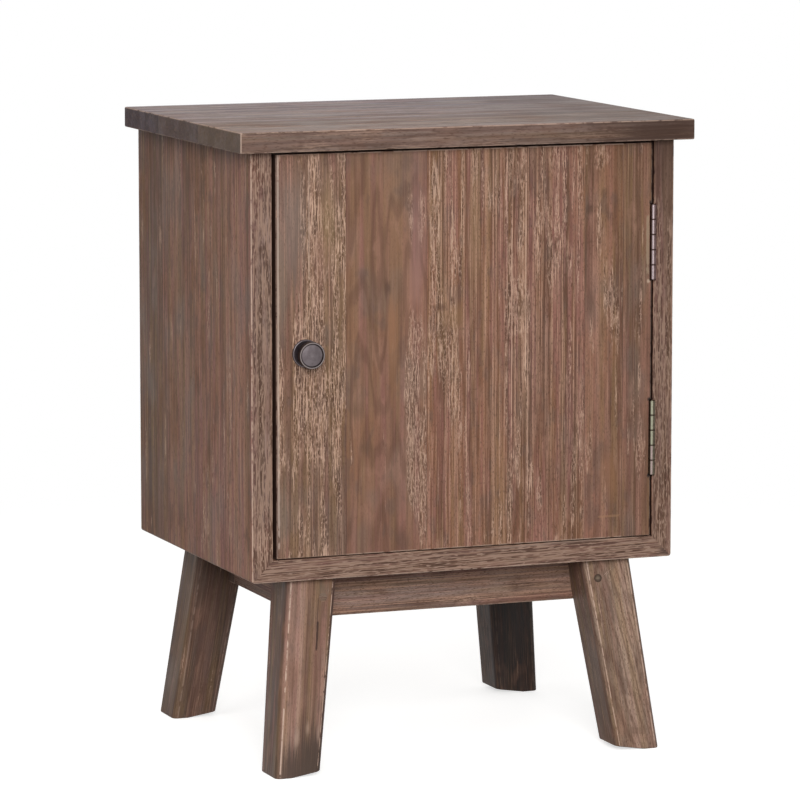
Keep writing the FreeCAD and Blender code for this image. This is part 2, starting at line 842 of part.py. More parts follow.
def make_door():
    envelope = block(door_left, door_right, box_front, door_back, door_bottom, door_top)
    envelope = eased(envelope, door_edge_ease, lambda p, d: True)
    for i, (x0, x1) in enumerate(zip(door_places, door_places[1:])):
        stave = block(x0, x1, box_front, door_back, door_bottom, door_top).common(envelope)
        if x0 <= knob_x <= x1:
            stave = stave.cut(knob_hole())
        if i == 0:
            stave = stave.cut(strike_screw_hole())
        if i == len(door_places) - 2:
            stave = stave.cut(Part.makeCompound(hinge_recesses(-1)))
        save("door_plank_%d" % (i + 1), stave)


def make_hinges():
    for name, z0 in zip(("lower", "upper"), hinge_bottoms()):
        save("hinge_%s_side_leaf" % name, hinge_leaf(1, z0))
        save("hinge_%s_door_leaf" % name, hinge_leaf(-1, z0))
        save("hinge_%s_pin" % name, hinge_pin(z0))
    for name, sign in (("side", 1), ("door", -1)):
        screws = [hinge_screw(sign, place) for z0 in hinge_bottoms()
                  for place in hinge_screw_places(sign, z0)]
        save("hinge_screws_" + name, Part.makeCompound(screws))


def make_catch_and_knob():
    housing, magnet, poles, screws = catch_parts()
    save("catch_housing", housing)
    save("catch_magnet", magnet)
    save("catch_poles", Part.makeCompound(poles))
    save("catch_screws", Part.makeCompound(screws))
    plate, strike_screw = strike_parts()
    save("strike_plate", plate)
    save("strike_screw", strike_screw)
    washer, knob_screw = knob_fixing()
    save("knob_rose", knob_rose())
    save("knob", knob_body())
    save("knob_washer", washer)
    save("knob_screw", knob_screw)


def make_base():
    screw_holes = Part.makeCompound([leg_screw_hole(x, y) for corner, x, y in CORNERS])
    dowel_holes = Part.makeCompound(apron_dowels(dowel_fit))
    for corner, sign_x, sign_y in CORNERS:
        save("leg_" + corner, leg(sign_x, sign_y))
        glue_block = corner_block(sign_x, sign_y)
        save("corner_block_" + corner, glue_block.cut(block_screw_hole(sign_x, sign_y)))
    for end, sign_y in ENDS:
        save("apron_" + end, long_apron(sign_y).cut(screw_holes).cut(dowel_holes))
    for side, sign_x in SIDES:
        save("apron_" + side, side_apron(sign_x).cut(screw_holes).cut(dowel_holes))
    save("apron_dowels", Part.makeCompound(apron_dowels(0)))
    save("leg_screws", Part.makeCompound([leg_screw(x, y) for corner, x, y in CORNERS]))
    save("leg_plugs", Part.makeCompound([leg_plug(x, y) for corner, x, y in CORNERS]))
    save("corner_block_screws", Part.makeCompound([block_screw(x, y) for corner, x, y in CORNERS]))


os.makedirs("parts", exist_ok=True)
make_top()
make_box()
make_door()
make_hinges()
make_catch_and_knob()
make_base()
print("hinge axis at x %.3f y %.3f" % (hinge_x, hinge_y))
print("top from y %.3f to %.3f, box front %.3f" % (top_front, top_back, box_front))
print("knob at x %.3f z %.3f" % (knob_x, knob_z))
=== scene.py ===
import math

import bpy
from mathutils import Euler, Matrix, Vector


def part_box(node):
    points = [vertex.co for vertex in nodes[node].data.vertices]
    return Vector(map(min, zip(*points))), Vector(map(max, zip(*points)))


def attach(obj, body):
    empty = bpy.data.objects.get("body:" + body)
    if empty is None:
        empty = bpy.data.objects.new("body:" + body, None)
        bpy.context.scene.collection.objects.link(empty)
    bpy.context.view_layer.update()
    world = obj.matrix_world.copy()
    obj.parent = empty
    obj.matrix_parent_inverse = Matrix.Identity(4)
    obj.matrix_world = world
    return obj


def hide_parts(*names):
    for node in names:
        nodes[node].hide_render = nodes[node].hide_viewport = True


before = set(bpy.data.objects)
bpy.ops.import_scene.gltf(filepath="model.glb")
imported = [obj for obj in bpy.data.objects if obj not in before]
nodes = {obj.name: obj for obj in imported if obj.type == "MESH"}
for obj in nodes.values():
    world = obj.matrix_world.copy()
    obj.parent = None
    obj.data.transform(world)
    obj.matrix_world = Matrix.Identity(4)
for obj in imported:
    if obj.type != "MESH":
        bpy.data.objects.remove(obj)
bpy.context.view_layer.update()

MM = 0.001


# Small helpers
def tone(hex_colour):
    """An sRGB hex colour as the linear RGBA that a shader reads."""
    values = [int(hex_colour[i:i + 2], 16) / 255 for i in (1, 3, 5)]
    return [v / 12.92 if v <= 0.04045 else ((v + 0.055) / 1.055) ** 2.4 for v in values] + [1.0]


def add(tree, kind, inputs=None, **settings):
    """Adds a node with its settings, and sets or links its inputs."""
    made = tree.nodes.new(kind)
    for key, value in settings.items():
        setattr(made, key, value)
    for key, value in (inputs or {}).items():
        if isinstance(value, bpy.types.NodeSocket):
            tree.links.new(value, made.inputs[key])
        else:
            made.inputs[key].default_value = value
    return made


def material(name):
    """An empty node material, its tree and its output node."""
    made = bpy.data.materials.new(name)
    made.use_nodes = True
    made.node_tree.nodes.clear()
    return made, made.node_tree, add(made.node_tree, "ShaderNodeOutputMaterial")


def finish(obj, made):
    """Gives an object one material in all its slots."""
    if not obj.material_slots:
        obj.data.materials.append(made)
    for slot in obj.material_slots:
        slot.material = made


def group_box(names):
    """The box around several CAD nodes, in metres."""
    boxes = [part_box(name) for name in names]
    low = Vector([min(box[0][i] for box in boxes) for i in range(3)])
    high = Vector([max(box[1][i] for box in boxes) for i in range(3)])
    return low, high


# Camera: the photograph's viewing angle, aimed so that the object sits where it does there.
# Angles are in degrees, the distance and the reach in metres, the sensor in mm, the rest in pixels.
camera_azimuth = -21.45
camera_elevation = 8.16
camera_distance = 4.047
camera_reach = 100
camera_sensor = 36
camera_focal = 4754
image_side = 800
object_middle = Vector((0, 1.75 * MM, 265 * MM))
middle_pixel = (404.7, 423.6)


def make_camera():
    azimuth, elevation = math.radians(camera_azimuth), math.radians(camera_elevation)
    back = Vector((math.sin(azimuth) * math.cos(elevation),
                   -math.cos(azimuth) * math.cos(elevation), math.sin(elevation)))
    right = Vector((math.cos(azimuth), math.sin(azimuth), 0))
    up = back.cross(right)
    per_pixel = camera_distance / camera_focal
    aim = (object_middle + up * (middle_pixel[1] - image_side / 2) * per_pixel
           - right * (middle_pixel[0] - image_side / 2) * per_pixel)
    place = object_middle + back * camera_distance
    bpy.ops.object.camera_add(location=place, rotation=(aim - place).to_track_quat("-Z", "Y").to_euler())
    camera = bpy.context.object
    camera.data.sensor_width = camera_sensor
    camera.data.lens = camera_focal / image_side * camera_sensor
    camera.data.clip_end = camera_reach
    bpy.context.scene.camera = camera


# Stage: pale floor that keeps the shadow, white background, soft studio light
def seen_directly(tree):
    """1 where the camera, a reflection or a pane sees the surface, 0 where it only gives light."""
    path = add(tree, "ShaderNodeLightPath")
    either = add(tree, "ShaderNodeMath", {0: path.outputs["Is Camera Ray"],
                                          1: path.outputs["Is Glossy Ray"]}, operation="MAXIMUM")
    return add(tree, "ShaderNodeMath", {0: either.outputs[0],
                                        1: path.outputs["Is Transmission Ray"]}, operation="MAXIMUM")


# The floor keeps the shadow within the first distance from the middle, and is white from the second on
floor_radius = 30
floor_shadow_to = 0.45
floor_white_from = 1.3
floor_glow = 0.62
sky_light = 0.42
# Soft boxes, as (name, place and side in metres, power in watts)
SOFT_BOXES = (
    ("key", (-0.8, -2.65, 1.2), 1.2, 62),
    ("fill", (-2.2, -1.2, 2.2), 1.4, 12),
    ("back", (0.8, 2.6, 0.9), 1.6, 18),
)


def make_stage():
    bpy.ops.mesh.primitive_circle_add(vertices=64, radius=floor_radius, fill_type="NGON")
    floor = bpy.context.object
    floor.name = "floor"
    paper, tree, out = material("matt_paper_floor")
    matt = add(tree, "ShaderNodeBsdfDiffuse", {"Color": tone("#E4E3E1")})
    glow = add(tree, "ShaderNodeEmission", {"Color": tone("#FFFFFF"), "Strength": floor_glow})
    near = add(tree, "ShaderNodeAddShader", {0: matt.outputs[0], 1: glow.outputs[0]})
    far = add(tree, "ShaderNodeEmission", {"Color": tone("#FFFFFF"), "Strength": 1.0})
    place = add(tree, "ShaderNodeTexCoord")
    away = add(tree, "ShaderNodeVectorMath", {0: place.outputs["Object"]}, operation="LENGTH")
    fade = add(tree, "ShaderNodeMapRange", {"Value": away.outputs["Value"],
                                            "From Min": floor_shadow_to,
                                            "From Max": floor_white_from},
               interpolation_type="SMOOTHSTEP")
    lit = add(tree, "ShaderNodeMixShader", {0: fade.outputs[0], 1: near.outputs[0],
                                            2: far.outputs[0]})
    dim = add(tree, "ShaderNodeBsdfDiffuse", {"Color": tone("#5C5A58")})
    both = add(tree, "ShaderNodeMixShader", {0: seen_directly(tree).outputs[0],
                                             1: dim.outputs[0], 2: lit.outputs[0]})
    tree.links.new(both.outputs[0], out.inputs["Surface"])
    finish(floor, paper)

    world = bpy.data.worlds.new("studio")
    bpy.context.scene.world = world
    world.use_nodes = True
    tree = world.node_tree
    tree.nodes.clear()
    light = add(tree, "ShaderNodeBackground", {"Color": tone("#FFFFFF"), "Strength": sky_light})
    white = add(tree, "ShaderNodeBackground", {"Color": tone("#FFFFFF"), "Strength": 1.0})
    both = add(tree, "ShaderNodeMixShader", {0: seen_directly(tree).outputs[0],
                                             1: light.outputs[0], 2: white.outputs[0]})
    add(tree, "ShaderNodeOutputWorld", {"Surface": both.outputs[0]})
    bpy.context.scene.view_settings.view_transform = "Standard"


def make_lamps():
    """Square soft boxes that point at the object's middle."""
    for name, place, side, power in SOFT_BOXES:
        place = Vector(place)
        turn = (object_middle - place).to_track_quat("-Z", "Y").to_euler()
        bpy.ops.object.light_add(type="AREA", location=place, rotation=turn)
        lamp = bpy.context.object
        lamp.name = name
        lamp.data.size = side
        lamp.data.energy = power


# Wood. Layers of grain, as (width across the grain, length along it, both in mm, and detail).
GRAIN_LAYERS = {
    "bands": (15, 520, 1),
    "hues": (7, 230, 2),
    "clouds": (30, 62, 2),
    "smudges": (11, 27, 2),
    "wander": (26, 210, 2),
    "figure": (3.6, 130, 2),
    "threads": (0.9, 260, 1),
    "fibres": (1.15, 40, 2),
    "streaks": (0.6, 13, 1),
    "ticks": (0.62, 2.8, 1),
    "columns": (5, 150, 2),
    "flocks": (11, 60, 2),
    "chips": (7, 7, 3),
}
# Real pores and brush marks are finer than a pixel. The layers above are as coarse as they need to be
# to show, and these are drawn `coarse` times wider still.
FINE_LAYERS = ("figure", "threads", "fibres", "streaks", "ticks", "columns")
# What each mask paints over the plank's own brown, from broad hues up to the pale wash in the grooves
LAYER_COLOURS = (
    ("pink", "#90615B"), ("olive", "#836847"), ("grey", "#6E5F56"), ("brown", "#80573F"),
    ("smudge", "#5D4A42"), ("warm", "#9A7361"), ("late", "#563A2C"), ("figure", "#5C4133"),
    ("pale_line", "#B8917A"), ("fibre_dark", "#533829"), ("fibre_pale", "#B38D78"),
    ("tick_dark", "#4E3525"), ("groove", "#4B3122"), ("fleck", "#C9A690"), ("tick", "#C9A893"),
)
glue_line = "#3F2C24"
rubbed_wood = "#C2A695"
# For grain along each axis: two axes across it, then the one along it
AXES = {"X": ("Y", "Z", "X"), "Y": ("X", "Z", "Y"), "Z": ("X", "Y", "Z")}
grain_roughness = 0.55
ring_wander = 5.0
# The outlines of marks and washes, in half sizes from the centre: where they start and where they
# are full. A mark's outline is ragged by a share of the noise, which averages a half.
WASH_OUTLINE = (1.25, 0.6)
SOFT_OUTLINE = (1.6, 0.7)
HARD_OUTLINE = (1.68, 1.5)
soft_ragged = 1.0
hard_ragged = 1.2
# The glue line and the rubbed arris: how far from the edge they end, how far they are full and how far
# the line wanders, in mm
glue_end, glue_full, glue_wander = 0.95, 0.5, 0.9
arris_end, arris_full = 1.3, 0.4
# A leg's arris runs out into its front or back where the surface has turned this far, as a cosine
crease_turn, crease_end, crease_full = 0.95, 0.03, 0.012
# Depth of the brushed relief in mm, and thin wax over the wood
relief_depth = 0.45
wax_ior = 1.45


def teak(name, along, box, seed, dark="#6B5044", light="#86675A", pink=0.4, olive=0.4, grey=0.35,
         brown=0.3, flecks=0.5, lines=0.5, brush=1.0, dip=1.0, fibre=1.0, figure=1.0, coarse=1.0,
         long=1.0, late=0.3, faces=(), pith=(60, 40), pitch=5.0, tilt=(1.6, 1.0), lean=(0, 0, 0),
         ends="#51433E", wear_box=None, wear=0.8, joint=None, marks=(), washes=(), rough=0.6,
         gloss=0.3):
    """Reclaimed teak, wire-brushed, stained brown and washed with white: the brush leaves fine grooves
    that hold the pale wash in short broken flecks, the arrises are rubbed pale, and no two planks
    are the same brown. The sheen is that of thin wax.

    The wood's brown runs from dark to light. Pink, olive, grey and brown say how strong each hue is,
    flecks how much of the plank holds wash, brush and dip how bright the wash and how dark the
    grooves are, and lines, fibre, figure and late how strong the lines of the grain are. Pith and
    pitch place the year rings in mm, tilt and lean turn the rings and the grain in degrees, and
    joint is the axis across which the plank is glued to its neighbours."""
    made, tree, out = material(name)
    low, high = box
    turn_back = Euler([math.radians(a) for a in lean])
    place = add(tree, "ShaderNodeTexCoord")
    turned = add(tree, "ShaderNodeMapping", {"Vector": place.outputs["Object"], "Rotation": turn_back})
    face = add(tree, "ShaderNodeSeparateXYZ", {0: place.outputs["Normal"]})

    def reach(centre_mm, half_mm):
        """How far a point lies from a centre, along each axis, as a share of the half sizes."""
        centre = turn_back.to_matrix() @ (Vector(centre_mm) * MM)
        away = add(tree, "ShaderNodeVectorMath", {0: turned.outputs[0], 1: centre},
                   operation="SUBTRACT")
        return add(tree, "ShaderNodeVectorMath", {0: away.outputs[0], 1: [v * MM for v in half_mm]},
                   operation="DIVIDE").outputs[0]

    # Stretched noise, each layer and each seed in a place of its own
    xyz = add(tree, "ShaderNodeSeparateXYZ", {0: turned.outputs[0]})
    first, second, third = AXES[along]
    grain = add(tree, "ShaderNodeCombineXYZ", {0: xyz.outputs[first], 1: xyz.outputs[second],
                                               2: xyz.outputs[third]})
    noise = {}
    for i, (layer, (width, length, detail)) in enumerate(GRAIN_LAYERS.items()):
        if layer in FINE_LAYERS:
            width, length = width * coarse, length * coarse * long
        stretched = add(tree, "ShaderNodeMapping", {
            "Vector": grain.outputs[0],
            "Location": (seed * 3.7 + i * 11.3, seed * 5.1 - i * 7.9, seed * 2.3 + i * 5.7),
            "Scale": (1 / (width * MM), 1 / (width * MM), 1 / (length * MM))})
        made_noise = add(tree, "ShaderNodeTexNoise", {"Vector": stretched.outputs[0], "Scale": 1.0,
                                                      "Detail": detail,
                                                      "Roughness": grain_roughness})
        noise[layer] = made_noise.outputs[0]

    # Year rings round the pith, which lies outside the plank and leans a little
    centre = dict(zip("XYZ", (low + high) / 2))
    heart = (centre[first] / MM + pith[0], centre[second] / MM + pith[1])
    hearted = add(tree, "ShaderNodeMapping", {
        "Vector": grain.outputs[0],
        "Location": (-heart[0] / pitch, -heart[1] / pitch, 0),
        "Rotation": (math.radians(tilt[0]), math.radians(tilt[1]), 0),
        "Scale": [1 / (pitch * MM)] * 3})
    flat = add(tree, "ShaderNodeVectorMath", {0: hearted.outputs[0], 1: (1, 1, 0)},
               operation="MULTIPLY")
    radius = add(tree, "ShaderNodeVectorMath", {0: flat.outputs[0]}, operation="LENGTH")
    wavy = add(tree, "ShaderNodeMath", {0: noise["wander"], 1: ring_wander,
                                        2: radius.outputs["Value"]}, operation="MULTIPLY_ADD")
    turn = add(tree, "ShaderNodeMath", {0: wavy.outputs[0], 1: 2 * math.pi}, operation="MULTIPLY")
    wave = add(tree, "ShaderNodeMath", {0: turn.outputs[0]}, operation="SINE")

    # Where the wash has stayed: in columns along the grain and in flocks
    washed = add(tree, "ShaderNodeMath", {0: noise["columns"], 1: noise["flocks"]}, operation="ADD")
    for centre_mm, half_mm, amount in washes:
        far = add(tree, "ShaderNodeVectorMath", {0: reach(centre_mm, half_mm)}, operation="LENGTH")
        inside = add(tree, "ShaderNodeMapRange", {"Value": far.outputs["Value"],
                                                  "From Min": WASH_OUTLINE[0],
                                                  "From Max": WASH_OUTLINE[1]},
                     interpolation_type="SMOOTHSTEP")
        washed = add(tree, "ShaderNodeMath", {0: inside.outputs[0], 1: amount,
                                              2: washed.outputs[0]}, operation="MULTIPLY_ADD")

    # Faces tinted in their own way: the planks' front edges stained and weathered, the legs' faces given
    # painted shade
    steps = []
    for direction, (start, full), shade, most, extra in faces:
        toward = add(tree, "ShaderNodeVectorMath", {0: place.outputs["Normal"], 1: direction},
                     operation="DOT_PRODUCT")
        ahead = add(tree, "ShaderNodeMapRange", {"Value": toward.outputs["Value"], "From Min": start,
                                                 "From Max": full}, interpolation_type="SMOOTHSTEP")
        amount = add(tree, "ShaderNodeMath", {0: ahead.outputs[0], 1: most}, operation="MULTIPLY")
        steps.append((amount.outputs[0], shade))
        washed = add(tree, "ShaderNodeMath", {0: ahead.outputs[0], 1: extra,
                                              2: washed.outputs[0]}, operation="MULTIPLY_ADD")

    # Masks, as (name, what they are cut from, where they start and are full, how strong they are)
    masks = {}
    for mask, source, start, full, most in (
            ("tones", noise["bands"], 0.40, 0.60, 1.0),
            ("pink", noise["hues"], 0.50, 0.61, pink),
            ("olive", noise["hues"], 0.50, 0.39, olive),
            ("grey", noise["clouds"], 0.49, 0.32, grey),
            ("brown", noise["clouds"], 0.53, 0.68, brown),
            ("smudge", noise["smudges"], 0.46, 0.32, 0.5),
            ("warm", noise["smudges"], 0.54, 0.70, 0.35),
            ("late", wave.outputs[0], 0.1, 1.0, late),
            ("figure", noise["figure"], 0.47, 0.32, 0.36 * figure),
            ("pale_line", noise["threads"], 0.55, 0.64, 0.7 * lines),
            ("fibre_dark", noise["fibres"], 0.48, 0.34, 0.42 * fibre),
            ("fibre_pale", noise["fibres"], 0.54, 0.68, (0.42 * lines + 0.1) * fibre),
            ("tick_dark", noise["ticks"], 0.45, 0.32, 0.6 * fibre),
            ("dense", washed.outputs[0], 1.18 - 0.36 * flecks, 1.36 - 0.36 * flecks, 1.0),
            ("groove", noise["streaks"], 0.46, 0.36, 0.8 * dip),
            ("fleck", noise["streaks"], 0.53, 0.63, 0.62 * brush),
            ("tick", noise["ticks"], 0.54, 0.64, 0.5 * brush)):
        ranged = add(tree, "ShaderNodeMapRange", {"Value": source, "From Min": start,
                                                  "From Max": full, "To Max": most},
                     interpolation_type="SMOOTHSTEP")
        masks[mask] = ranged.outputs[0]
    for mask in ("groove", "fleck", "tick"):
        dense = add(tree, "ShaderNodeMath", {0: masks[mask], 1: masks["dense"]}, operation="MULTIPLY")
        masks[mask] = dense.outputs[0]

    base = add(tree, "ShaderNodeMix", {0: masks["tones"], 6: tone(dark), 7: tone(light)},
               data_type="RGBA")
    steps += [(masks[mask], shade) for mask, shade in LAYER_COLOURS]

    # Marks on the plank: knots, short end joints, rubbed lines, cracks, and painted shade in gaps, in
    # recesses, under the overhang and under the box
    for centre_mm, half_mm, soft, colour, most in marks:
        if soft:
            far = add(tree, "ShaderNodeVectorMath", {0: reach(centre_mm, half_mm)},
                      operation="LENGTH").outputs["Value"]
        else:
            sizes = add(tree, "ShaderNodeVectorMath", {0: reach(centre_mm, half_mm)},
                        operation="ABSOLUTE")
            sizes = add(tree, "ShaderNodeSeparateXYZ", {0: sizes.outputs[0]})
            far = add(tree, "ShaderNodeMath", {0: sizes.outputs[0], 1: sizes.outputs[1]},
                      operation="MAXIMUM")
            far = add(tree, "ShaderNodeMath", {0: far.outputs[0], 1: sizes.outputs[2]},
                      operation="MAXIMUM").outputs[0]
        start, full = SOFT_OUTLINE if soft else HARD_OUTLINE
        ragged = add(tree, "ShaderNodeMath", {0: noise["fibres" if soft else "chips"],
                                              1: soft_ragged if soft else hard_ragged, 2: far},
                     operation="MULTIPLY_ADD")
        spot = add(tree, "ShaderNodeMapRange", {"Value": ragged.outputs[0], "From Min": start,
                                                "From Max": full, "To Max": most},
                   interpolation_type="SMOOTHSTEP")
        steps.append((spot.outputs[0], colour))

    # Glue line at the plank's own long edges
    if joint:
        across = "XYZ".index(joint)
        own = add(tree, "ShaderNodeSeparateXYZ", {0: place.outputs["Object"]})
        gaps = [add(tree, "ShaderNodeMath", {0: own.outputs[joint], 1: side[across]},
                    operation="SUBTRACT") for side in (low, high)]
        gaps = [add(tree, "ShaderNodeMath", {0: gap.outputs[0]}, operation="ABSOLUTE") for gap in gaps]
        nearest = add(tree, "ShaderNodeMath", {0: gaps[0].outputs[0], 1: gaps[1].outputs[0]},
                      operation="MINIMUM")
        uneven = add(tree, "ShaderNodeMath", {0: noise["clouds"], 1: glue_wander * MM,
                                              2: nearest.outputs[0]}, operation="MULTIPLY_ADD")
        line = add(tree, "ShaderNodeMapRange", {"Value": uneven.outputs[0],
                                                "From Min": glue_end * MM,
                                                "From Max": glue_full * MM, "To Max": 0.55},
                   interpolation_type="SMOOTHSTEP")
        steps.append((line.outputs[0], glue_line))

    # End grain drinks more stain
    cut = add(tree, "ShaderNodeMath", {0: face.outputs[along]}, operation="ABSOLUTE")
    end_grain = add(tree, "ShaderNodeMapRange", {"Value": cut.outputs[0], "From Min": 0.55,
                                                 "From Max": 0.85, "To Max": 0.72},
                    interpolation_type="SMOOTHSTEP")
    steps.append((end_grain.outputs[0], ends))

    # Rubbed arrises, broken up: near an edge of the box that the planks make together, or on a
    # rounded arris where it runs out into the outer face
    if wear_box:
        from_low = add(tree, "ShaderNodeVectorMath", {0: place.outputs["Object"], 1: wear_box[0]},
                       operation="SUBTRACT")
        to_high = add(tree, "ShaderNodeVectorMath", {0: wear_box[1], 1: place.outputs["Object"]},
                      operation="SUBTRACT")
        within = add(tree, "ShaderNodeVectorMath", {0: from_low.outputs[0], 1: to_high.outputs[0]},
                     operation="MINIMUM")
        sides = add(tree, "ShaderNodeSeparateXYZ", {0: within.outputs[0]})
        shifted = add(tree, "ShaderNodeCombineXYZ", {0: sides.outputs[1], 1: sides.outputs[2],
                                                     2: sides.outputs[0]})
        pairs = add(tree, "ShaderNodeVectorMath", {0: within.outputs[0], 1: shifted.outputs[0]},
                    operation="MAXIMUM")
        pairs = add(tree, "ShaderNodeSeparateXYZ", {0: pairs.outputs[0]})
        least = add(tree, "ShaderNodeMath", {0: pairs.outputs[0], 1: pairs.outputs[1]},
                    operation="MINIMUM")
        least = add(tree, "ShaderNodeMath", {0: least.outputs[0], 1: pairs.outputs[2]},
                    operation="MINIMUM")
        edge = add(tree, "ShaderNodeMapRange", {"Value": least.outputs[0],
                                                "From Min": arris_end * MM,
                                                "From Max": arris_full * MM, "To Max": wear},
                   interpolation_type="SMOOTHSTEP")
    else:
        facing = add(tree, "ShaderNodeMath", {0: face.outputs["Y"]}, operation="ABSOLUTE")
        beside = add(tree, "ShaderNodeMath", {0: facing.outputs[0], 1: crease_turn},
                     operation="SUBTRACT")
        beside = add(tree, "ShaderNodeMath", {0: beside.outputs[0]}, operation="ABSOLUTE")
        edge = add(tree, "ShaderNodeMapRange", {"Value": beside.outputs[0],
                                                "From Min": crease_end,
                                                "From Max": crease_full, "To Max": wear},
                   interpolation_type="SMOOTHSTEP")
    broken = add(tree, "ShaderNodeMapRange", {"Value": noise["chips"], "From Min": 0.37,
                                              "From Max": 0.52}, interpolation_type="SMOOTHSTEP")
    rubbed_and_glint = add(tree, "ShaderNodeMath", {0: edge.outputs[0], 1: broken.outputs[0]},
                 operation="MULTIPLY")
    steps.append((rubbed_and_glint.outputs[0], rubbed_wood))

    colour = base.outputs[2]
    for factor, shade in steps:
        mixed = add(tree, "ShaderNodeMix", {0: factor, 6: colour, 7: tone(shade)}, data_type="RGBA")
        colour = mixed.outputs[2]

    # Brushed relief: fibres stand up, grooves lie low
    relief = add(tree, "ShaderNodeMath", {0: noise["fibres"], 1: noise["figure"]}, operation="ADD")
    relief = add(tree, "ShaderNodeMath", {0: masks["groove"], 1: -0.5, 2: relief.outputs[0]},
                 operation="MULTIPLY_ADD")
    bump = add(tree, "ShaderNodeBump", {"Height": relief.outputs[0], "Strength": 0.5,
                                        "Distance": relief_depth * MM})
    sheen = add(tree, "ShaderNodeMapRange", {"Value": noise["clouds"], "From Min": 0.3,
                                             "From Max": 0.7, "To Min": rough - 0.07,
                                             "To Max": rough + 0.08})
    wood = add(tree, "ShaderNodeBsdfPrincipled", {"Base Color": colour,
                                                  "Roughness": sheen.outputs[0],
                                                  "Normal": bump.outputs[0], "IOR": wax_ior,
                                                  "Specular IOR Level": gloss})
    tree.links.new(wood.outputs[0], out.inputs["Surface"])
    return made


# Places that the marks are set by, from the CAD nodes, in mm
door_box = group_box(["door_plank_%d" % (i + 1) for i in range(6)])
top_box = group_box(["top_plank_front", "top_plank_middle", "top_plank_back"])
case_box = group_box(["side_left_plank_front", "side_left_plank_back", "side_right_plank_front",
                      "bottom_plank_front"])
upper_hinge_box = group_box(["hinge_upper_side_leaf", "hinge_upper_door_leaf", "hinge_upper_pin"])
lower_hinge_box = group_box(["hinge_lower_side_leaf", "hinge_lower_door_leaf", "hinge_lower_pin"])
door_left, door_right = (corner.x / MM for corner in door_box)
door_front = door_box[0].y / MM
case_front = case_box[0].y / MM
case_right = case_box[1].x / MM
top_left, top_front, top_low = (v / MM for v in top_box[0])
upper_hinge_low, upper_hinge_high = (corner.z / MM for corner in upper_hinge_box)
lower_hinge_low, lower_hinge_high = (corner.z / MM for corner in lower_hinge_box)
side_thickness = 18
# The painted shade in the gaps beside the door: its middle, and a half height past its ends, which come out
# ragged
gap_middle = 345
gap_half = 260
# Half the depth of a mark that goes right through a plank's face
deep = 30

# Each plank's own brown, grain, wash and marks. A mark is (centre, half sizes, whether it is soft,
# colour, how strong) and a wash (centre, half sizes, how much more wash stays), both in mm. A face
# is (the way it looks, the cosines at which its tint starts and is full, colour, how strong, how
# much more wash stays).
FRONT = (0, -1, 0)
LEFT = (-1, 0, 0)
square_on = (0.5, 0.9)

